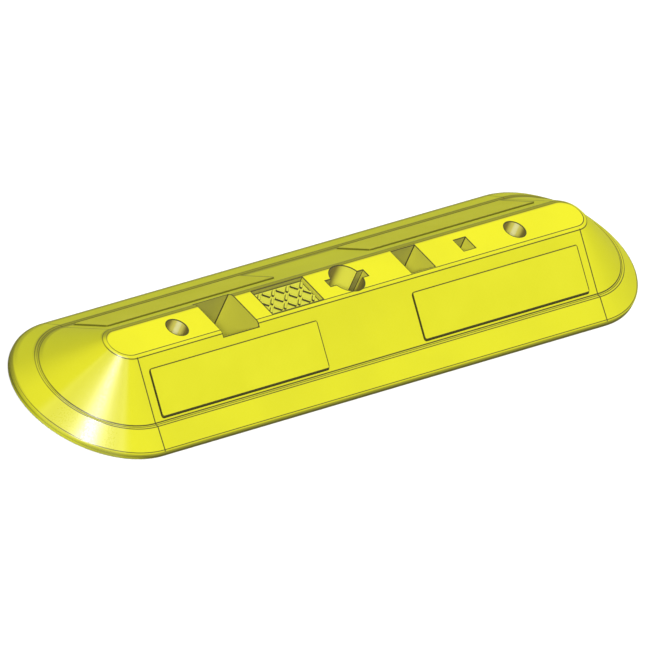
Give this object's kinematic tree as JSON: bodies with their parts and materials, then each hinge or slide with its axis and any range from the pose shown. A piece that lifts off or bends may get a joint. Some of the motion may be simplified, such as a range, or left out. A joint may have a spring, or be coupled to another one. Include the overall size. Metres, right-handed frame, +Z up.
{
  "type": "flexible lane divider",
  "caption": "Low moulded traffic island with rounded ends, sloping flanks with raised reflectors, post sockets along its crest, anchor holes and a ribbed hollow underside.",
  "frame": {"origin": "centre of the base, on the road surface", "axes": "X along the divider with the small square socket at +X, Y across it, Z up"},
  "size_m": [1, 0.24, 0.08],
  "materials": {
    "body_rubber": "smooth satin moulding",
    "reflector_sheet": "retroreflective sheet",
    "zinc_steel": "zinc plated",
    "insert_rubber": "satin moulding"
  },
  "bodies": {
    "root": {"divider_body": "body_rubber", "reflector_front_left": "reflector_sheet", "reflector_front_right": "reflector_sheet", "reflector_rear_left": "reflector_sheet", "reflector_rear_right": "reflector_sheet", "anchor_bush_left": "zinc_steel", "anchor_bush_right": "zinc_steel", "lock_plate": "zinc_steel", "lock_plate_screws": "zinc_steel", "tread_insert": "insert_rubber"}
  },
  "joints": []
}
